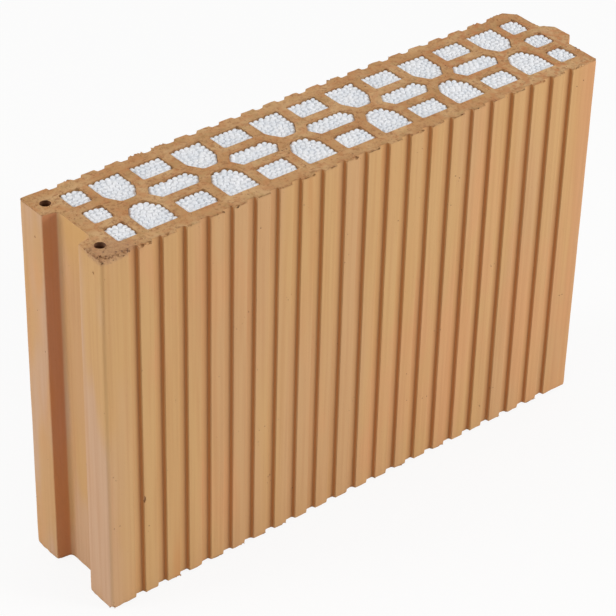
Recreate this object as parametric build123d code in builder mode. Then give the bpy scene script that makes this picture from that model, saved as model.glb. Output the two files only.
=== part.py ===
from build123d import *
import os

# Hollow fired-clay block, standing on its bed face, with an insulating fill in each of its cells.
# X runs from the grooved end to the tongued end, Y across the block, Z up. Millimetres.

# Fired body
length = 372.0  # grooved end face to the shoulder of the tongued end
width = 80.0  # over the ridges of both broad faces
height = 249.0
tail_corner_chamfer = 6.5  # on the far corner of the tongued end only
corner_round = 2.5

# Key grooves of both broad faces
groove_count = 21
groove_head = 21.8  # grooved end face to the middle of the first groove
groove_tail = 24.3  # shoulder to the middle of the last groove
groove_mouth = 6.9
groove_floor = 5.1
groove_depth = 2.3
ridge_round = 0.6
groove_floor_round = 0.5

# End recess, and the tongue that enters the recess of the next block
recess_mouth = 34.8
recess_draft = 1.8  # the recess narrows by this on each side, from its mouth to its floor
recess_depth = 10.0
recess_floor_round = 3.5
recess_mouth_round = 1.5
tongue_side_play = 3.8  # tongue to recess at the mouth, on each side
tongue_end_play = 2.0  # tip of the tongue to the floor of the recess
tongue_slope = 6.6  # the tongue narrows by this on each side, from its root to its tip
tongue_tip_round = 2.5
tongue_root_round = 2.0

# Tie holes in the two ribs beside the recess
tie_hole_diameter = 6.5
tie_hole_from_end = 8.8
tie_hole_from_face = 13.6

# Rows of cells, from the middle of the block outwards
middle_cell_width = 14.4
row_web = 6.3  # clay between the middle row and the cells outside it
nose_web = 5.8  # clay between the noses of two facing arched cells
outer_wall = 10.6  # clay outside the outer rows, over the ridges

# Columns of cells, from the grooved end to the tongued end
head_wall = 18.9
head_cell = 14.1
end_web = 5.2  # clay between the end columns and the arched cells
arch_length = 22.0
arch_count = 6
arch_web = 6.7  # clay between an arched cell and the rectangular cell beside it
tip_web = 22.6  # clay between the tips of two neighbouring hexagonal cells
tail_cell = 14.0
tail_middle_cell = 15.8
tail_wall = 7.0

# Shapes of the cells
cell_round = 1.6
nose_length = 10.0
nose_rise = 9.3  # height over which an arched cell widens from its nose
nose_round = 3.0
arch_shoulder_round = 6.0
tip_length = 4.4  # how far each end of a hexagonal cell runs to its tip

# Insulating fill
fill_clearance = 0.15  # fill to the wall of its cell
fill_recess = 1.2  # fill below the top face and above the bed face

# Places that follow from these sizes. The origin is the middle of the bed, tongue included.
tongue_length = recess_depth - tongue_end_play
tongue_root = recess_mouth - 2 * tongue_side_play
tongue_tip = tongue_root - 2 * tongue_slope
recess_floor = recess_mouth - 2 * recess_draft
head_x = -(length + tongue_length) / 2
shoulder_x = head_x + length
tip_x = shoulder_x + tongue_length
face_y = width / 2
groove_bottom_y = face_y - groove_depth
groove_pitch = (length - groove_head - groove_tail) / (groove_count - 1)

outer_y = face_y - outer_wall
inner_y = middle_cell_width / 2 + row_web
nose_y = nose_web / 2

head_cell_x = head_x + head_wall + head_cell / 2
tail_start_x = shoulder_x - tail_wall - tail_cell
tail_cell_x = tail_start_x + tail_cell / 2
tail_middle_x = tail_start_x + tail_middle_cell / 2
first_arch_x = head_x + head_wall + head_cell + end_web + arch_length / 2
last_arch_x = tail_start_x - end_web - arch_length / 2
arch_pitch = (last_arch_x - first_arch_x) / (arch_count - 1)
rectangle_length = arch_pitch - arch_length - 2 * arch_web
hexagon_length = arch_pitch - tip_web


def rectangular_cell(center_x, low_y, high_y, size_x):
    """A cell with four rounded corners, from low_y to high_y."""
    with BuildSketch() as cell:
        with Locations((center_x, (low_y + high_y) / 2)):
            Rectangle(size_x, high_y - low_y)
        fillet(cell.vertices(), cell_round)
    return cell.sketch


def arched_cell(center_x, side):
    """A cell that narrows to a nose at the middle of the block; side is 1 for far and -1 for near."""
    half, nose_half = arch_length / 2, nose_length / 2
    shoulder_y = nose_y + nose_rise
    with BuildSketch() as cell:
        with BuildLine():
            Polyline(
                (center_x - half, side * outer_y),
                (center_x + half, side * outer_y),
                (center_x + half, side * shoulder_y),
                (center_x + nose_half, side * nose_y),
                (center_x - nose_half, side * nose_y),
                (center_x - half, side * shoulder_y),
                close=True,
            )
        make_face()
        from_nose = cell.vertices().sort_by(lambda corner: abs(corner.Y))
        fillet(from_nose[0:2], nose_round)
        fillet(cell.vertices().filter_by(lambda corner: abs(abs(corner.Y) - shoulder_y) < 0.01), arch_shoulder_round)
        fillet(cell.vertices().filter_by(lambda corner: abs(abs(corner.Y) - outer_y) < 0.01), cell_round)
    return cell.sketch


def hexagonal_cell(center_x):
    """A cell of the middle row, with a tip at each end."""
    half, high = hexagon_length / 2, middle_cell_width / 2
    with BuildSketch() as cell:
        with BuildLine():
            Polyline(
                (center_x - half, 0),
                (center_x - half + tip_length, high),
                (center_x + half - tip_length, high),
                (center_x + half, 0),
                (center_x + half - tip_length, -high),
                (center_x - half + tip_length, -high),
                close=True,
            )
        make_face()
        fillet(cell.vertices(), cell_round)
    return cell.sketch


# Every cell by the name of its fill
cells = {}
for row, low_y, high_y in (("near", -outer_y, -inner_y), ("far", inner_y, outer_y)):
    side = 1 if row == "far" else -1
    cells[f"fill_head_{row}"] = rectangular_cell(head_cell_x, low_y, high_y, head_cell)
    cells[f"fill_tail_{row}"] = rectangular_cell(tail_cell_x, low_y, high_y, tail_cell)
    for column in range(arch_count):
        arch_x = first_arch_x + column * arch_pitch
        cells[f"fill_arch_{row}_{column + 1}"] = arched_cell(arch_x, side)
    for column in range(arch_count - 1):
        between_x = first_arch_x + (column + 0.5) * arch_pitch
        cells[f"fill_rectangle_{row}_{column + 1}"] = rectangular_cell(between_x, low_y, high_y, rectangle_length)
middle_y = middle_cell_width / 2
cells["fill_head_middle"] = rectangular_cell(head_cell_x, -middle_y, middle_y, head_cell)
cells["fill_tail_middle"] = rectangular_cell(tail_middle_x, -middle_y, middle_y, tail_middle_cell)
for column in range(arch_count - 1):
    cells[f"fill_hexagon_{column + 1}"] = hexagonal_cell(first_arch_x + (column + 0.5) * arch_pitch)


def at(x=None, y=None):
    """A filter for the vertices at this distance along X, at this distance either side of the middle, or both."""
    def chosen(corner):
        return (x is None or abs(corner.X - x) < 0.01) and (y is None or abs(abs(corner.Y) - y) < 0.01)
    return chosen


# Outline of the fired body, before its cells are cut
with BuildSketch() as outline:
    with Locations(((head_x + shoulder_x) / 2, 0)):
        Rectangle(length, width)
    chamfer(outline.vertices().group_by(Axis.Y)[-1].sort_by(Axis.X)[-1], tail_corner_chamfer)
    fillet(outline.vertices(), corner_round)
    with BuildLine():
        Polyline(
            (shoulder_x, -tongue_root / 2),
            (tip_x, -tongue_tip / 2),
            (tip_x, tongue_tip / 2),
            (shoulder_x, tongue_root / 2),
            close=True,
        )
    make_face()
    fillet(outline.vertices().filter_by(at(x=tip_x)), tongue_tip_round)
    fillet(outline.vertices().filter_by(at(x=shoulder_x, y=tongue_root / 2)), tongue_root_round)
    with BuildLine():
        Polyline(
            (head_x, -recess_mouth / 2),
            (head_x + recess_depth, -recess_floor / 2),
            (head_x + recess_depth, recess_floor / 2),
            (head_x, recess_mouth / 2),
            close=True,
        )
    make_face(mode=Mode.SUBTRACT)
    fillet(outline.vertices().filter_by(at(x=head_x + recess_depth)), recess_floor_round)
    fillet(outline.vertices().filter_by(at(x=head_x, y=recess_mouth / 2)), recess_mouth_round)
    for side in (-1, 1):
        for groove in range(groove_count):
            groove_x = head_x + groove_head + groove * groove_pitch
            with BuildLine():
                Polyline(
                    (groove_x - groove_mouth / 2, side * face_y),
                    (groove_x - groove_floor / 2, side * groove_bottom_y),
                    (groove_x + groove_floor / 2, side * groove_bottom_y),
                    (groove_x + groove_mouth / 2, side * face_y),
                    close=True,
                )
            make_face(mode=Mode.SUBTRACT)
    first_mouth_x = head_x + groove_head - groove_mouth / 2
    last_mouth_x = shoulder_x - groove_tail + groove_mouth / 2
    ridge_corners = outline.vertices().filter_by(at(y=face_y))
    ridge_corners = ridge_corners.filter_by(lambda corner: first_mouth_x - 0.01 < corner.X < last_mouth_x + 0.01)
    fillet(ridge_corners, ridge_round)
    fillet(outline.vertices().filter_by(at(y=groove_bottom_y)), groove_floor_round)

with BuildPart() as clay_block:
    with BuildSketch():
        add(outline.sketch)
        for cell in cells.values():
            add(cell, mode=Mode.SUBTRACT)
        tie_hole_x = head_x + tie_hole_from_end
        tie_hole_y = face_y - tie_hole_from_face
        with Locations((tie_hole_x, -tie_hole_y), (tie_hole_x, tie_hole_y)):
            Circle(tie_hole_diameter / 2, mode=Mode.SUBTRACT)
    extrude(amount=height)
clay_block.part.label = "clay_block"

fills = []
for name, cell in cells.items():
    with BuildPart() as fill:
        with BuildSketch(Plane.XY.offset(fill_recess)):
            add(cell)
            offset(amount=-fill_clearance, mode=Mode.REPLACE)
        extrude(amount=height - 2 * fill_recess)
    fill.part.label = name
    fills.append(fill.part)

os.makedirs("parts", exist_ok=True)
for piece in [clay_block.part] + fills:
    export_step(piece, f"parts/{piece.label}.step")
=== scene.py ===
import math
import random

import bmesh
import bpy
import numpy as np
from mathutils import Euler, Matrix, Vector


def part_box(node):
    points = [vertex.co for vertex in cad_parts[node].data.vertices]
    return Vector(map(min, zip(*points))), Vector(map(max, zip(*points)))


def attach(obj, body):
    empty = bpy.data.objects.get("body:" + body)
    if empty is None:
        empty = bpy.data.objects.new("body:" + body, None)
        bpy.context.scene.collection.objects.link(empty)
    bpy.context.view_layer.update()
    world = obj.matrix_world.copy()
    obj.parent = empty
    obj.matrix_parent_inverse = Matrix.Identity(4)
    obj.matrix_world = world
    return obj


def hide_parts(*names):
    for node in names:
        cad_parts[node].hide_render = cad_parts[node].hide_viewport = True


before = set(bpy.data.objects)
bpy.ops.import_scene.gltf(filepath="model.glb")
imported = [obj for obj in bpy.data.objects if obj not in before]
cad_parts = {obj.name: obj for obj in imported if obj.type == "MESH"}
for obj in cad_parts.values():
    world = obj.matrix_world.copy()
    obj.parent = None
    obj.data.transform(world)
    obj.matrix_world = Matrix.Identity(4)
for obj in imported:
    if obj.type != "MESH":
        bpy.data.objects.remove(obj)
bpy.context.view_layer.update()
scene = bpy.context.scene
scene.view_settings.view_transform = "Standard"
print("frame loaded,", len(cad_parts), "nodes")


# Camera
cameraSettings = {
    "place": (-0.8059, -0.9545, 0.9874),
    "turnDegrees": (55.1, -1.252, -38.893),
    "lens": 144.2,
    "sensor": 36.0,
    "nearAndFar": (0.05, 50.0),
}


def addCamera(settings):
    data = bpy.data.cameras.new("camera")
    data.lens = settings["lens"]
    data.sensor_width = settings["sensor"]
    data.clip_start, data.clip_end = settings["nearAndFar"]
    camera = bpy.data.objects.new("camera", data)
    camera.location = settings["place"]
    camera.rotation_euler = Euler([math.radians(angle) for angle in settings["turnDegrees"]])
    scene.collection.objects.link(camera)
    scene.camera = camera


addCamera(cameraSettings)
print("camera placed")


# Small helpers for modelling
def only(piece):
    bpy.ops.object.select_all(action="DESELECT")
    piece.select_set(True)
    bpy.context.view_layer.objects.active = piece


def editing(piece):
    only(piece)
    bpy.ops.object.mode_set(mode="EDIT")
    bpy.ops.mesh.select_mode(type="FACE")
    bpy.ops.mesh.select_all(action="DESELECT")


def endEditing():
    bpy.ops.object.mode_set(mode="OBJECT")


def selectFaces(piece, wanted):
    mesh = bmesh.from_edit_mesh(piece.data)
    for face in mesh.faces:
        face.select_set(False)
    for face in mesh.faces:
        if wanted(face):
            face.select_set(True)
    mesh.select_flush_mode()
    bmesh.update_edit_mesh(piece.data)


def joined(pieces):
    bpy.ops.object.select_all(action="DESELECT")
    for piece in pieces:
        piece.select_set(True)
    bpy.context.view_layer.objects.active = pieces[0]
    bpy.ops.object.join()
    return pieces[0]


def copyOfNode(node, name):
    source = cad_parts[node]
    mesh = source.data.copy()
    mesh.name = name
    mesh.materials.clear()
    piece = bpy.data.objects.new(name, mesh)
    scene.collection.objects.link(piece)
    editing(piece)
    bpy.ops.mesh.select_all(action="SELECT")
    bpy.ops.mesh.remove_doubles(threshold=1e-6)
    endEditing()
    bpy.ops.mesh.customdata_custom_splitnormals_clear()
    return piece


def cutAcross(piece, wanted, places, axis):
    # cuts the wanted faces at each of the places along one axis
    direction = [0.0, 0.0, 0.0]
    direction[axis] = 1.0
    for place in places:
        selectFaces(piece, wanted)
        point = [0.0, 0.0, 0.0]
        point[axis] = place
        bpy.ops.mesh.bisect(plane_co=point, plane_no=direction, threshold=2e-5)


def displace(piece, name, size, depth, middle, group=""):
    texture = bpy.data.textures.new(name, type="CLOUDS")
    texture.noise_scale = size
    only(piece)
    modifier = piece.modifiers.new(name, "DISPLACE")
    modifier.texture = texture
    modifier.texture_coords = "LOCAL"
    modifier.vertex_group = group
    modifier.strength = depth
    modifier.mid_level = middle
    bpy.ops.object.modifier_apply(modifier=modifier.name)


def roughen(piece, name, weightOf, size, depth):
    group = piece.vertex_groups.new(name=name)
    for vertex in piece.data.vertices:
        weight = weightOf(vertex)
        if weight > 0.0:
            group.add([vertex.index], min(1.0, weight), "REPLACE")
    displace(piece, name, size, depth, 1.0, group.name)  # the surface only goes inwards


# Fired body, in metres
clayShape = {
    "headX": -0.190,
    "length": 0.380,
    "halfWidth": 0.040,
    "height": 0.249,
    "tieHole": (-0.1812, 0.0264),
    "tieHoleReach": 0.0045,
    "outerWalls": (-0.1790, 0.1775, 0.0300),  # they lie past these: head, tail and broad faces
    "rimLevels": (0.0006, 0.0014, 0.0026, 0.0042, 0.0065, 0.0100, 0.0150),
    "cellLevels": (0.0012, 0.0030),
    "wallStep": 0.0194,
    "endGrid": 0.0030,
    "cornerGrid": 0.0009,
    "cornerReach": (-0.1660, -0.0215, 0.2395),
}
clayWear = {
    "rimReach": 0.002,  # how far the worn cut faces run down the walls
    "cellShare": 0.3,  # wear round the mouths of the cells, next to 1 on the outside
    "grainSize": 0.0022,
    "grainDepth": 0.0008,
    "dragSize": 0.0300,
    "dragDepth": 0.0004,
    "crumbleSize": 0.0022,
    "crumbleDepth": 0.0013,
    "crumbleReach": 0.0034,
    "crumbleStart": (-0.1680, -0.0200),  # on the near broad face, and on the end face
    "crumbleFade": 0.006,
}


def isOutside(x, y):
    # the outer walls of the body, and not those of its cells and tie holes
    headSide, tailSide, broadSide = clayShape["outerWalls"]
    holeX, holeY = clayShape["tieHole"]
    inHole = math.hypot(x - holeX, abs(y) - holeY) < clayShape["tieHoleReach"]
    return (abs(y) > broadSide or x > tailSide or x < headSide) and not inHole


def isCellWall(polygon):
    return abs(polygon.normal.z) < 0.5 and not isOutside(polygon.center.x, polygon.center.y)


def makeClay(shape):
    clay = copyOfNode("clay_block", "clay_body")
    headX, halfWidth, height = shape["headX"], shape["halfWidth"], shape["height"]
    editing(clay)
    bpy.ops.mesh.select_all(action="SELECT")
    bpy.ops.mesh.dissolve_limited(angle_limit=math.radians(4.0), use_dissolve_boundaries=False)

    def isWall(face):
        return abs(face.normal.z) < 0.5

    def isCutFace(face):
        return not isWall(face)

    def isOuterWall(face):
        center = face.calc_center_median()
        return isWall(face) and isOutside(center.x, center.y)

    def isInnerWall(face):
        return isWall(face) and not isOuterWall(face)

    grid = shape["endGrid"]
    alongX = [headX + grid * step for step in range(1, int(shape["length"] / grid))]
    alongY = [-halfWidth + grid * step for step in range(1, int(2 * halfWidth / grid))]
    cutAcross(clay, isCutFace, alongX, 0)
    cutAcross(clay, isCutFace, alongY, 1)

    levels = list(shape["rimLevels"])
    levels += [height - level for level in shape["rimLevels"]]
    lastLevel = shape["rimLevels"][-1]
    between = height - 2 * lastLevel
    steps = int(between / shape["wallStep"])
    levels += [lastLevel + between * step / steps for step in range(1, steps)]
    cutAcross(clay, isOuterWall, levels, 2)
    for level in shape["cellLevels"]:
        cutAcross(clay, isInnerWall, (level, height - level), 2)

    # a finer net where the near corner of the recessed end has crumbled
    limitX, limitY, limitZ = shape["cornerReach"]

    def isCorner(face):
        center = face.calc_center_median()
        return center.x < limitX and center.y < limitY and center.z > limitZ

    fine = shape["cornerGrid"]
    alongX = [headX + fine * step for step in range(1, int((limitX - headX) / fine))]
    alongY = [-halfWidth + fine * step for step in range(1, int((limitY + halfWidth) / fine))]
    alongZ = [height - fine * step for step in range(1, int((height - limitZ) / fine))]
    for axis, places in enumerate((alongX, alongY, alongZ)):
        cutAcross(clay, isCorner, places, axis)
    endEditing()
    print("clay faces after cutting:", len(clay.data.polygons))
    return clay


def wearClay(clay, shape, wear):
    headX, halfWidth, height = shape["headX"], shape["halfWidth"], shape["height"]
    startX, startY = wear["crumbleStart"]
    inCellWall = set()
    for polygon in clay.data.polygons:
        if isCellWall(polygon):
            inCellWall.update(polygon.vertices)

    def rim(vertex):
        # full on the top and bottom faces, fading down the walls, and gentle round the cells
        away = min(vertex.co.z, height - vertex.co.z)
        share = wear["cellShare"] if vertex.index in inCellWall else 1.0
        return max(0.0, 1.0 - away / wear["rimReach"]) * share

    def wall(vertex):
        return 1.0 if isOutside(vertex.co.x, vertex.co.y) else 0.0

    def corner(vertex):
        # the two top edges beside the near corner of the recessed end
        x, y, z = vertex.co
        fromEnd = math.hypot(x - headX, z - height) / wear["crumbleReach"]
        fromFace = math.hypot(y + halfWidth, z - height) / wear["crumbleReach"]
        alongEnd = min(1.0, max(0.0, (startY - y) / wear["crumbleFade"]))
        alongFace = min(1.0, max(0.0, (startX - x) / wear["crumbleFade"]))
        return max(0.0, (1.0 - fromEnd) * alongEnd, (1.0 - fromFace) * alongFace) ** 0.5

    roughen(clay, "cutGrain", rim, wear["grainSize"], wear["grainDepth"])
    roughen(clay, "drag", wall, wear["dragSize"], wear["dragDepth"])
    roughen(clay, "crumble", corner, wear["crumbleSize"], wear["crumbleDepth"])
    low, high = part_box("clay_block")
    for vertex in clay.data.vertices:  # wear never stands proud of the block
        vertex.co = [min(max(vertex.co[axis], low[axis]), high[axis]) for axis in range(3)]


# Chips and pits, in millimetres
chipSettings = {
    "edgeSize": 0.9,
    "edgeDepth": 0.6,
    "fineAbove": 1.3,  # half length past which a chip gets smaller facets
    "chipShadeReach": 1.35,  # how far the painted shade of a chip goes, in half sizes
    "rowY": 40.0,
    "rowStart": -168.0,
    "rowEnd": 176.0,
    "rowClearance": 2.2,
    "rows": (  # side of the block, height, spacing and the share of places with a chip
        (-1, 249.1, 4.4, 0.75),
        (1, 249.1, 5.0, 0.20),
        (-1, -0.1, 6.0, 0.35),
        (1, -0.1, 6.0, 0.35),
    ),
}
clayChips = (  # the larger ones: x, y, z and three half sizes
    (-163.8, -40.1, 248.9, 2.7, 1.3, 1.4),
    (-158.4, -40.1, 249.0, 2.0, 1.1, 1.2),
    (-146.2, -40.0, 249.2, 1.8, 1.0, 1.0),
    (-130.5, -40.1, 249.2, 1.1, 0.7, 0.6),
    (-97.4, -40.1, 249.1, 1.5, 1.1, 1.2),
    (-56.4, -40.0, 249.1, 2.3, 1.5, 1.4),
    (-12.0, -40.1, 249.1, 2.2, 1.5, 1.3),
    (12.3, -40.0, 249.1, 1.8, 1.4, 1.4),
    (24.5, -40.0, 249.1, 1.4, 1.2, 1.2),
    (38.0, -40.0, 249.1, 2.0, 1.3, 1.3),
    (62.5, -40.1, 249.2, 2.1, 1.1, 1.0),
    (110.2, -40.0, 249.1, 1.3, 1.2, 1.1),
    (-190.1, -24.8, 249.1, 0.7, 1.6, 0.6),
    (-190.0, -29.6, 249.1, 0.8, 1.0, 0.7),
    (-190.1, -33.6, 249.1, 0.7, 1.0, 0.6),
    (-189.9, -36.8, 248.9, 0.8, 0.9, 0.9),
    (-188.9, -39.4, 247.6, 0.8, 0.8, 1.1),
    (-187.3, -35.0, 249.2, 0.9, 0.9, 0.7),
    (-184.6, -37.2, 249.2, 0.9, 0.8, 0.7),
    (-181.2, -38.8, 249.2, 0.8, 0.7, 0.7),
    (-176.0, -40.1, 247.4, 1.5, 0.6, 0.6),
    (-172.6, -39.3, 249.1, 1.2, 0.7, 0.6),
    (-190.0, 28.6, 249.2, 0.7, 1.6, 0.6),
    (-190.1, 37.9, 249.4, 1.4, 1.6, 1.3),
    (-98.0, 40.1, 249.1, 1.7, 0.8, 0.7),
    (33.0, 40.1, 249.2, 1.5, 0.9, 0.7),
    (181.8, -22.0, 249.2, 0.8, 1.7, 0.7),
    (-141.0, -40.1, -0.1, 2.0, 0.8, 1.0),
    (-59.6, -40.1, -0.1, 1.6, 0.9, 0.8),
    (70.4, -40.1, -0.1, 1.9, 0.7, 0.9),
    (-189.8, -39.4, -0.3, 2.0, 1.8, 2.0),
    (86.0, 40.1, -0.1, 2.0, 0.8, 0.9),
    (-190.3, 24.8, 231.0, 0.8, 0.8, 0.8),
    (-190.3, -32.0, 237.4, 0.8, 0.9, 0.9),
    (-164.6, -40.1, 72.0, 0.9, 0.9, 2.4),
    (-72.0, -40.3, 109.0, 0.8, 0.9, 1.3),
    (-38.0, -40.3, 170.0, 0.6, 0.7, 0.7),
    (59.0, -40.3, 141.0, 0.6, 0.7, 0.6),
    (-121.0, -40.3, 202.0, 0.6, 0.7, 0.6),
    (142.0, 40.3, 74.0, 0.8, 0.8, 1.0),
    (182.3, 24.0, 160.0, 0.7, 0.8, 0.9),
)


def isClear(x, side, z, placed, clearance):
    # no larger chip of the same edge is near
    for otherX, otherY, otherZ, halfX, *_ in placed:
        isOnEdge = abs(z - otherZ) <= 20 and side * otherY >= 0
        if isOnEdge and abs(x - otherX) <= halfX + clearance:
            return False
    return True


def scatterChips(placed, settings, chance):
    # smaller chips along the cut edges, clear of the larger ones
    chips = []
    for side, z, spacing, share in settings["rows"]:
        x = settings["rowStart"]
        while x < settings["rowEnd"]:
            halfX = 0.5 + 0.9 * chance.random()
            halfY = 0.5 + 0.5 * chance.random()
            halfZ = 0.5 + 0.6 * chance.random()
            hasRoom = isClear(x, side, z, placed, settings["rowClearance"])
            if hasRoom and chance.random() < share:
                chips.append((x, side * settings["rowY"], z, halfX, halfY, halfZ))
            x += spacing * (0.8 + 0.4 * chance.random())
    return chips


def chipClay(clay, chips, settings, chance):
    lumps = []
    for x, y, z, *halfSizes in chips:
        bpy.ops.mesh.primitive_ico_sphere_add(
            subdivisions=3 if halfSizes[0] > settings["fineAbove"] else 2,
            radius=0.001,
            location=(x / 1000, y / 1000, z / 1000),
        )
        lump = bpy.context.active_object
        lump.scale = halfSizes
        lump.rotation_euler = [0.5 * chance.random() for _ in range(3)]
        bpy.ops.object.transform_apply(location=True, rotation=True, scale=True)
        lumps.append(lump)
    cutter = joined(lumps)
    displace(cutter, "chipEdge", settings["edgeSize"] / 1000, settings["edgeDepth"] / 1000, 0.5)
    editing(clay)
    bpy.ops.mesh.select_all(action="SELECT")
    bpy.ops.mesh.quads_convert_to_tris()
    endEditing()
    modifier = clay.modifiers.new("chips", "BOOLEAN")
    modifier.operation = "DIFFERENCE"
    modifier.solver = "EXACT"
    modifier.object = cutter
    bpy.ops.object.modifier_apply(modifier=modifier.name)
    bpy.data.objects.remove(cutter)
    print("clay faces after chipping:", len(clay.data.polygons))


def markClay(clay, chips, settings):
    # painted shade, how dark a face is for the material: cell and hole walls fully, chips in part,
    # larger chips darker
    points = np.array([vertex.co for vertex in clay.data.vertices]) * 1000
    inChip = {}
    for chip in chips:
        middle, halfSizes = np.array(chip[:3]), np.array(chip[3:])
        away = np.linalg.norm((points - middle) / halfSizes, axis=1)
        darkness = min(0.8, 0.12 + 0.27 * max(chip[3:]))
        for index in np.flatnonzero(away < settings["chipShadeReach"]):
            inChip[int(index)] = darkness
    hollowShade = clay.data.attributes.new("hollowShade", "FLOAT", "FACE")
    for polygon in clay.data.polygons:
        if isCellWall(polygon):
            hollowShade.data[polygon.index].value = 1.0
        elif all(index in inChip for index in polygon.vertices):
            hollowShade.data[polygon.index].value = inChip[polygon.vertices[0]]


clayBody = makeClay(clayShape)
allChips = list(clayChips) + scatterChips(clayChips, chipSettings, random.Random(11))
chipClay(clayBody, allChips, chipSettings, random.Random(5))
markClay(clayBody, allChips, chipSettings)
wearClay(clayBody, clayShape, clayWear)
only(clayBody)
bpy.ops.object.shade_smooth_by_angle(angle=math.radians(32.0))
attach(clayBody, "root")
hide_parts("clay_block")
print("clay body made")


# Bead fills, in metres
beadShape = {
    "radius": 0.00185,
    "radiusSpread": 0.10,
    "stretch": 0.06,  # how far a bead is from round
    "tightness": 0.98,  # distance between bead middles, in sums of their radii
    "fullness": 0.93,
    "wallShare": 0.82,  # distance of the outermost bead middles from the wall, in radii
    "ringShift": 0.25,  # how unevenly they follow each other, in places
    "innerDepth": 1.8,  # the other beads share what lies deeper than this, in radii
    "startDepth": 2.4,
    "samples": 1500,
    "rounds": 60,
    "push": 0.45,  # share of an overlap that one round takes away
    "rise": 0.0011,  # tops of the beads above the face of the plain fill
    "sink": 0.0002,  # how far some beads lie below their neighbours
    "coreDrop": 0.0005,
    "rimInset": 0.0009,
    "rimDrop": 0.0004,
}


def makeBead():
    bpy.ops.object.select_all(action="DESELECT")
    bpy.ops.mesh.primitive_ico_sphere_add(subdivisions=2, radius=1.0)
    bead = bpy.context.active_object
    bead.name = "beadModel"
    bpy.ops.object.shade_smooth()
    return bead


def cellWalls(node):
    # each upright facet of the fill as its outward direction and its distance from the origin
    walls = set()
    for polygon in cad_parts[node].data.polygons:
        if abs(polygon.normal.z) < 0.1:
            point = polygon.center
            distance = polygon.normal.x * point.x + polygon.normal.y * point.y
            walls.add((round(polygon.normal.x, 4), round(polygon.normal.y, 4), round(distance, 6)))
    return np.array(sorted(walls))


def ringOfBeads(walls, middle, shape, chance):
    # bead middles side by side along the wall of the cell
    turns = np.linspace(0.0, 2.0 * math.pi, 721)
    directions = np.stack([np.cos(turns), np.sin(turns)], 1)
    lean = directions @ walls[:, :2].T
    reach = walls[:, 2] - shape["wallShare"] * shape["radius"] - walls[:, :2] @ middle
    reach = np.where(lean > 1e-6, reach[None, :] / np.where(lean > 1e-6, lean, 1.0), 1.0).min(1)
    line = middle + directions * reach[:, None]
    along = np.concatenate([[0.0], np.cumsum(np.hypot(*(line[1:] - line[:-1]).T))])
    count = int(along[-1] / (2.0 * shape["radius"] * shape["tightness"]))
    places = []
    for step in range(count):
        shifted = step + shape["ringShift"] * (chance.random() - 0.5)
        places.append(along[-1] * shifted / count % along[-1])
    return np.stack([np.interp(places, along, line[:, axis]) for axis in range(2)], 1)


def packBeads(node, shape, chance):
    walls = cellWalls(node)
    low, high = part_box(node)
    span = np.array([high.x - low.x, high.y - low.y])
    start = np.array([low.x, low.y])
    radius = shape["radius"]

    ring = ringOfBeads(walls, start + span / 2.0, shape, chance)
    samples = [[chance.random(), chance.random()] for _ in range(shape["samples"])]
    samples = start + span * np.array(samples)
    depths = (walls[:, 2][None, :] - samples @ walls[:, :2].T).min(1)
    area = float((depths > radius * shape["innerDepth"]).mean()) * span[0] * span[1]
    count = int(shape["fullness"] * area / (math.pi * (radius * shape["tightness"]) ** 2))
    points = np.concatenate([ring, samples[depths > radius * shape["startDepth"]][:count]])
    isRing = np.arange(len(points)) < len(ring)
    sizes = [1.0 + shape["radiusSpread"] * (2.0 * chance.random() - 1.0) for _ in points]
    radii = radius * np.array(sizes)
    for _ in range(shape["rounds"]):
        # beads push each other apart, and are then put back inside the walls
        gap = points[:, None, :] - points[None, :, :]
        distance = np.sqrt((gap ** 2).sum(-1)) + 1e-9
        wish = (radii[:, None] + radii[None, :]) * shape["tightness"]
        push = np.clip(wish - distance, 0.0, None)
        np.fill_diagonal(push, 0.0)
        away = gap / distance[..., None] * push[..., None]
        points = points + shape["push"] * away.sum(1)
        room = walls[:, 2][None, :] - points @ walls[:, :2].T
        over = radii[:, None] * shape["wallShare"] - room
        worst = over.argmax(1)
        amount = over[np.arange(len(points)), worst]
        amount = np.where(isRing, amount, np.clip(amount, 0.0, None))
        points = points - walls[worst, :2] * amount[:, None]
    return points, radii


def makeFill(node, bead, shape, chance):
    core = copyOfNode(node, node.replace("fill", "beads"))
    low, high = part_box(node)
    stretch = shape["stretch"]
    parts = [core]
    for end, face in ((1, high.z), (-1, low.z)):
        # the plain face steps back under the beads, and a little more along the wall
        editing(core)
        selectFaces(core, lambda candidate: candidate.normal.z * end > 0.5)
        bpy.ops.mesh.dissolve_faces()
        bpy.ops.transform.translate(value=(0, 0, -end * (shape["coreDrop"] + shape["rimDrop"])))
        bpy.ops.mesh.inset(thickness=shape["rimInset"], depth=0.0)
        bpy.ops.transform.translate(value=(0, 0, end * shape["rimDrop"]))
        endEditing()
        points, radii = packBeads(node, shape, chance)
        for (x, y), radius in zip(points, radii):
            sink = shape["sink"] * chance.random()
            single = bead.copy()
            single.data = bead.data.copy()
            turn = Euler([chance.random() * 6.28 for _ in range(3)]).to_matrix().to_4x4()
            size = [radius * (1.0 + stretch * (2.0 * chance.random() - 1.0)) for _ in range(3)]
            z = face + end * (shape["rise"] - radius * (1.0 + stretch) - sink)
            place = Matrix.Translation(Vector((x, y, z)))
            single.data.transform(place @ turn @ Matrix.Diagonal((*size, 1.0)))
            scene.collection.objects.link(single)
            parts.append(single)
    return joined(parts)


beadModel = makeBead()
beadChance = random.Random(17)
fills = []
for node in sorted(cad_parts):
    if node.startswith("fill_"):
        fill = makeFill(node, beadModel, beadShape, beadChance)
        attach(fill, "root")
        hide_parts(node)
        fills.append(fill)
bpy.data.objects.remove(beadModel)
print("fills made:", len(fills), "faces", sum(len(fill.data.polygons) for fill in fills))


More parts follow.
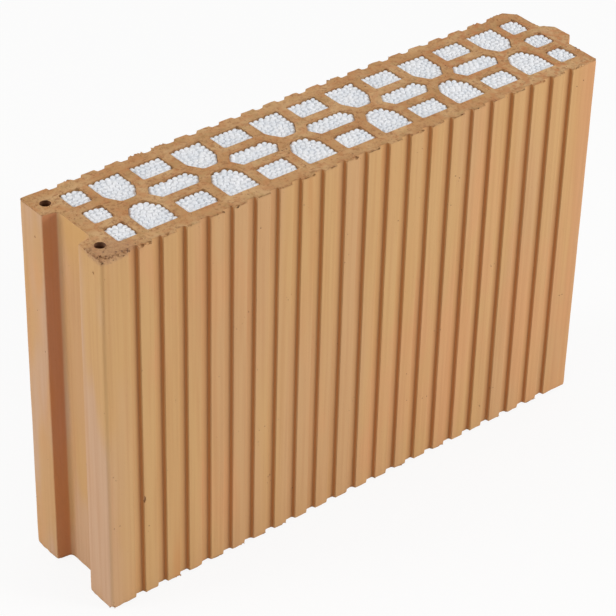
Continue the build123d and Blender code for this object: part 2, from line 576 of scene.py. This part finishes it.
# Shader maths: a wrapped socket that adds its own Math nodes
class Value:
    def __init__(self, nodes, socket):
        self.nodes = nodes
        self.socket = socket

    def math(self, operation, *operands):
        settings = {"operation": operation}
        return self.nodes.add("ShaderNodeMath", settings, dict(enumerate(operands)))

    def __add__(self, other):
        return self.math("ADD", self, other)

    def __radd__(self, other):
        return self.math("ADD", other, self)

    def __sub__(self, other):
        return self.math("SUBTRACT", self, other)

    def __rsub__(self, other):
        return self.math("SUBTRACT", other, self)

    def __mul__(self, other):
        return self.math("MULTIPLY", self, other)

    def __rmul__(self, other):
        return self.math("MULTIPLY", other, self)

    def __truediv__(self, other):
        return self.math("DIVIDE", self, other)

    def __rtruediv__(self, other):
        return self.math("DIVIDE", other, self)

    def __abs__(self):
        return self.math("ABSOLUTE", self)

    def fraction(self):
        return self.math("FRACT", self)

    def higher(self, other):
        return self.math("MAXIMUM", self, other)

    def ramp(self, start, end):
        # 0 at start, 1 at end, eased
        settings = {"interpolation_type": "SMOOTHSTEP", "clamp": True}
        inputs = {"Value": self, "From Min": start, "From Max": end}
        return self.nodes.add("ShaderNodeMapRange", settings, inputs)


class Finish:
    def __init__(self, name):
        self.material = bpy.data.materials.new(name)
        self.material.use_nodes = True
        self.tree = self.material.node_tree
        self.tree.nodes.clear()
        self.place = self.add("ShaderNodeTexCoord", output="Object")
        parts = self.tree.nodes.new("ShaderNodeSeparateXYZ")
        self.tree.links.new(self.place.socket, parts.inputs[0])
        self.x, self.y, self.z = (Value(self, socket) for socket in parts.outputs)

    def add(self, kind, settings=(), inputs=(), output=0):
        node = self.tree.nodes.new(kind)
        for key, value in dict(settings).items():
            setattr(node, key, value)
        for key, value in dict(inputs).items():
            if isinstance(value, Value):
                self.tree.links.new(value.socket, node.inputs[key])
            else:
                node.inputs[key].default_value = value
        return Value(self, node.outputs[output])

    def noise(self, scale, detail, roughness=0.55, stretch=None):
        place = self.place
        if stretch:
            place = self.add("ShaderNodeMapping", {}, {"Vector": place, "Scale": stretch})
        inputs = {"Vector": place, "Scale": scale, "Detail": detail, "Roughness": roughness}
        return self.add("ShaderNodeTexNoise", {}, inputs)

    def spots(self, scale):
        return self.add("ShaderNodeTexVoronoi", {}, {"Vector": self.place, "Scale": scale})

    def mixed(self, factor, first, second):
        # sockets 0, 6, 7 and result 2 are those of a colour mix
        return self.add("ShaderNodeMix", {"data_type": "RGBA"}, {0: factor, 6: first, 7: second}, 2)

    def shade(self, color, roughness, height, distance):
        bumpInputs = {"Height": height, "Strength": 1.0, "Distance": distance}
        bump = self.add("ShaderNodeBump", {}, bumpInputs)
        inputs = {"Base Color": color, "Roughness": roughness, "Normal": bump}
        shader = self.add("ShaderNodeBsdfPrincipled", {}, inputs)
        output = self.tree.nodes.new("ShaderNodeOutputMaterial")
        self.tree.links.new(shader.socket, output.inputs["Surface"])


def tone(red, green, blue):
    # a colour written as 0 to 255 on screen, made linear
    def linear(level):
        level = level / 255.0
        return level / 12.92 if level <= 0.04045 else ((level + 0.055) / 1.055) ** 2.4
    return (linear(red), linear(green), linear(blue), 1.0)


# Finish of the fired body
clayLook = {
    "tan": (200, 156, 109),
    "yellow": (202, 159, 106),
    "pink": (206, 154, 106),
    "mauve": (200, 163, 134),
    "orange": (198, 136, 80),
    "tailOrange": (204, 140, 90),
    "streak": (172, 110, 60),
    # painted shade of the groove floors and walls
    "grooveFloorShade": (168, 116, 69),
    "grooveWallShade": (184, 118, 60),
    "cut": (190, 142, 92),
    "cutDark": (152, 100, 58),
    "cutPale": (205, 164, 116),
    "cutOrange": (188, 122, 72),
    "cutOlive": (170, 136, 84),
    # painted shade of the recess flanks
    "flankShade": (186, 104, 48),
    "recessYellow": (208, 162, 96),
    # painted shade of the cell walls and tie holes
    "cellWallShade": (116, 72, 40),
    "holeShade": (104, 56, 28),
    "pit": (96, 56, 30),
    "greyPink": (178, 138, 108),
    "rubble": (140, 96, 64),
}
grooveLayout = {"pitch": 0.016295, "firstMiddle": -0.1682}


def wallColor(finish, tones):
    # tan, with upright patches of yellow and pink, mauver ends and orange towards both cut faces
    x, y, z = finish.x, finish.y, finish.z
    upright = (1.0, 1.0, 0.12)
    yellow = finish.noise(28.0, 2.0, stretch=upright).ramp(0.42, 0.60)
    color = finish.mixed(yellow, tones["tan"], tones["yellow"])
    pink = finish.noise(19.0, 3.0, stretch=(1.0, 1.0, 0.3)).ramp(0.50, 0.68)
    color = finish.mixed(pink, color, tones["pink"])
    mauve = finish.noise(26.0, 2.0, stretch=(1.0, 1.3, 0.25)).ramp(0.46, 0.60)
    mauve = mauve * abs(x).ramp(0.165, 0.186) * (0.35 + 0.65 * abs(y).ramp(0.0397, 0.0380))
    color = finish.mixed(mauve * 0.8, color, tones["mauve"])
    orange = finish.noise(34.0, 3.0, stretch=upright).ramp(0.56, 0.74)
    lowOrHigh = z.ramp(0.045, 0.0).higher(z.ramp(0.21, 0.249))
    return finish.mixed(orange * (0.25 + 0.45 * lowOrHigh), color, tones["orange"])


def withGrooveShade(finish, color, tones, layout):
    # painted shade: the grooves of both broad faces are browner than the ridges, the floor
    # darkening towards one wall, and that wall most of all
    x, y = finish.x, finish.y
    start = layout["firstMiddle"] - layout["pitch"] / 2
    across = ((x - start) / layout["pitch"]).fraction() - 0.5
    grooved = x.ramp(-0.1735, -0.1725) * x.ramp(0.1630, 0.1620) * abs(y).ramp(0.0360, 0.0372)
    # painted shade, stronger in some grooves than in others
    grooveShadeSpread = 0.75 + 0.45 * finish.noise(16.0, 1.0, stretch=(1.0, 0.0, 0.15)).ramp(0.35, 0.65)
    onFloor = across.ramp(-0.190, 0.170) * across.ramp(0.175, 0.160)
    color = finish.mixed(onFloor * onFloor * grooveShadeSpread * grooved * 0.85, color, tones["grooveFloorShade"])
    onWall = across.ramp(0.155, 0.168) * across.ramp(0.212, 0.190)
    return finish.mixed(onWall * grooved * 0.85, color, tones["grooveWallShade"])


def cutFaceColor(finish, tones):
    # mottled pale, dark, orange and olive, and more orange towards the tongue
    pale = finish.noise(45.0, 4.0).ramp(0.38, 0.64)
    color = finish.mixed(pale, tones["cut"], tones["cutPale"])
    dark = finish.noise(420.0, 3.0, 0.7).ramp(0.47, 0.70)
    color = finish.mixed(dark * 0.85, color, tones["cutDark"])
    toTail = 0.40 + 0.35 * finish.x.ramp(0.060, 0.150)
    orange = finish.noise(190.0, 2.0).ramp(0.46, 0.64)
    color = finish.mixed(orange * toTail, color, tones["cutOrange"])
    olive = finish.noise(150.0, 2.0, 0.6).ramp(0.52, 0.68)
    return finish.mixed(olive * 0.35, color, tones["cutOlive"])


def withHollows(finish, color, tones):
    # painted shade: cell walls are dark below their mouths, and the tie holes darker still
    x, y, z = finish.x, finish.y, finish.z
    hollowShade = finish.add("ShaderNodeAttribute", {"attribute_name": "hollowShade"}, {}, "Fac")
    mouth = z.ramp(0.2452, 0.2470).higher(z.ramp(0.0038, 0.0020))
    color = finish.mixed(hollowShade * (0.85 - 0.80 * mouth), color, tones["cellWallShade"])
    holeX, holeY = clayShape["tieHole"]
    fromX, fromY = x - holeX, abs(y) - holeY
    inHole = (fromX * fromX + fromY * fromY).ramp(0.0040 ** 2, 0.0034 ** 2) * hollowShade
    return finish.mixed(inHole * 0.9, color, tones["holeShade"])


def withRecess(finish, color, tones, isCut):
    # the floor of the recess is yellower towards its top, and its flanks carry a painted shade in a
    # redder brown
    x, y, z = finish.x, finish.y, finish.z
    floor = abs(y).ramp(0.0165, 0.0140) * x.ramp(-0.1778, -0.1792) * (1.0 - isCut)
    color = finish.mixed(floor * z.ramp(0.195, 0.245) * 0.55, color, tones["recessYellow"])
    flankShade = abs(y).ramp(0.0150, 0.0158) * abs(y).ramp(0.0180, 0.0174) * x.ramp(-0.1795, -0.1802)
    return finish.mixed(flankShade * (1.0 - isCut) * 0.6, color, tones["flankShade"])


def makeClayFinish(look, layout):
    finish = Finish("firedClay")
    tones = {name: tone(*color) for name, color in look.items()}
    x, y, z = finish.x, finish.y, finish.z
    isCut = z.ramp(0.2478, 0.2486).higher(z.ramp(0.0012, 0.0004))

    color = withGrooveShade(finish, wallColor(finish, tones), tones, layout)
    tail = finish.noise(30.0, 3.0, stretch=(2.0, 1.0, 0.25)).ramp(0.36, 0.56)
    color = finish.mixed(x.ramp(0.158, 0.178) * tail * 0.45, color, tones["tailOrange"])
    streak = finish.noise(420.0, 2.0, stretch=(1.0, 1.0, 0.02))
    color = finish.mixed(streak.ramp(0.35, 0.75) * 0.20, color, tones["streak"])
    color = finish.mixed(isCut, color, cutFaceColor(finish, tones))
    color = withHollows(finish, color, tones)
    color = withRecess(finish, color, tones, isCut)

    # pits and specks: more of them near the top edge and at the crumbled corner
    crumble = x.ramp(-0.158, -0.180) * y.ramp(-0.020, -0.032) * z.ramp(0.2440, 0.2485)
    rim = z.ramp(0.243, 0.2485).higher(z.ramp(0.004, 0.0005)) * 0.45
    patches = finish.noise(60.0, 2.0).ramp(0.60, 0.70)
    speckSize = 0.05 + 0.09 * patches + 0.10 * rim + 0.10 * crumble
    speck = (speckSize - finish.spots(330.0)).ramp(-0.01, 0.05)
    color = finish.mixed(speck * 0.75, color, tones["pit"])
    color = finish.mixed(crumble.ramp(0.0, 0.5) * 0.35, color, tones["greyPink"])
    mottle = finish.noise(430.0, 3.0, 0.75).ramp(0.46, 0.62) * crumble.ramp(0.05, 0.45)
    color = finish.mixed(mottle * 0.35, color, tones["rubble"])

    grain = finish.noise(900.0, 3.0, 0.65)
    coarse = finish.noise(260.0, 4.0, 0.7)
    height = streak * 0.16 + grain * 0.18 + coarse * (0.20 + 1.3 * isCut) - speck * 1.2
    finish.shade(color, 0.80 + 0.12 * grain, height, 0.0005)
    return finish.material


# Finish of the beads
beadLook = {
    "pale": (239, 240, 243),
    "shaded": (229, 232, 237),
    "roughness": 0.60,
    "skinDepth": 0.0001,
}


def makeBeadFinish(look):
    finish = Finish("beadFoam")
    patches = finish.noise(120.0, 2.0).ramp(0.35, 0.65)
    color = finish.mixed(patches, tone(*look["pale"]), tone(*look["shaded"]))
    skin = finish.noise(1500.0, 2.0)
    finish.shade(color, look["roughness"], skin, look["skinDepth"])
    return finish.material


clayBody.data.materials.append(makeClayFinish(clayLook, grooveLayout))
beadMaterial = makeBeadFinish(beadLook)
for fill in fills:
    fill.data.materials.append(beadMaterial)
print("materials made")


# Floor, world and lamps
studio = {
    "floorSize": 16.0,
    "floorZ": -0.0004,
    "floorTone": (0.86, 0.86, 0.86),
    "floorWhite": 0.88,  # share of plain white in what the camera sees of the floor
    "worldTone": (1.0, 0.99, 0.97),
    "worldStrength": 0.50,
    "aim": (0.0, 0.0, 0.12),
    "lamps": {  # place, size and power
        "rightLamp": ((1.15, -1.55, 0.85), 0.7, 20.5),
        "leftLamp": ((-1.70, 0.75, 0.90), 0.8, 15.0),
        "topLamp": ((0.10, 0.10, 2.20), 1.0, 6.0),
    },
}


def addFloor(settings):
    bpy.ops.object.select_all(action="DESELECT")
    place = (0.0, 0.0, settings["floorZ"])
    bpy.ops.mesh.primitive_plane_add(size=settings["floorSize"], location=place)
    floor = bpy.context.active_object
    floor.name = "floor"
    material = bpy.data.materials.new("paleFloor")
    material.use_nodes = True
    tree = material.node_tree
    tree.nodes.clear()
    output = tree.nodes.new("ShaderNodeOutputMaterial")
    matt = tree.nodes.new("ShaderNodeBsdfDiffuse")
    matt.inputs["Color"].default_value = (*settings["floorTone"], 1.0)
    white = tree.nodes.new("ShaderNodeEmission")
    white.inputs["Color"].default_value = (1.0, 1.0, 1.0, 1.0)
    white.inputs["Strength"].default_value = 1.0
    path = tree.nodes.new("ShaderNodeLightPath")
    seen = tree.nodes.new("ShaderNodeMath")
    seen.operation = "MAXIMUM"
    tree.links.new(path.outputs["Is Camera Ray"], seen.inputs[0])
    tree.links.new(path.outputs["Is Glossy Ray"], seen.inputs[1])
    share = tree.nodes.new("ShaderNodeMath")
    share.operation = "MULTIPLY"
    share.inputs[1].default_value = settings["floorWhite"]
    tree.links.new(seen.outputs[0], share.inputs[0])
    mix = tree.nodes.new("ShaderNodeMixShader")
    tree.links.new(share.outputs[0], mix.inputs[0])
    tree.links.new(matt.outputs[0], mix.inputs[1])
    tree.links.new(white.outputs[0], mix.inputs[2])
    tree.links.new(mix.outputs[0], output.inputs["Surface"])
    floor.data.materials.append(material)


def addWorld(settings):
    world = bpy.data.worlds.new("studio")
    scene.world = world
    world.use_nodes = True
    tree = world.node_tree
    tree.nodes.clear()
    output = tree.nodes.new("ShaderNodeOutputWorld")
    light = tree.nodes.new("ShaderNodeBackground")
    light.inputs["Color"].default_value = (*settings["worldTone"], 1.0)
    light.inputs["Strength"].default_value = settings["worldStrength"]
    backdrop = tree.nodes.new("ShaderNodeBackground")
    backdrop.inputs["Color"].default_value = (1.0, 1.0, 1.0, 1.0)
    backdrop.inputs["Strength"].default_value = 1.0
    path = tree.nodes.new("ShaderNodeLightPath")
    mix = tree.nodes.new("ShaderNodeMixShader")
    tree.links.new(path.outputs["Is Camera Ray"], mix.inputs[0])
    tree.links.new(light.outputs[0], mix.inputs[1])
    tree.links.new(backdrop.outputs[0], mix.inputs[2])
    tree.links.new(mix.outputs[0], output.inputs["Surface"])


def addLamp(name, place, size, power, aim):
    data = bpy.data.lights.new(name, "AREA")
    data.size = size
    data.energy = power
    lamp = bpy.data.objects.new(name, data)
    lamp.location = place
    lamp.rotation_euler = (Vector(aim) - Vector(place)).to_track_quat("-Z", "Y").to_euler()
    scene.collection.objects.link(lamp)


addFloor(studio)
addWorld(studio)
for name, lampSettings in studio["lamps"].items():
    addLamp(name, *lampSettings, studio["aim"])
print("studio made")
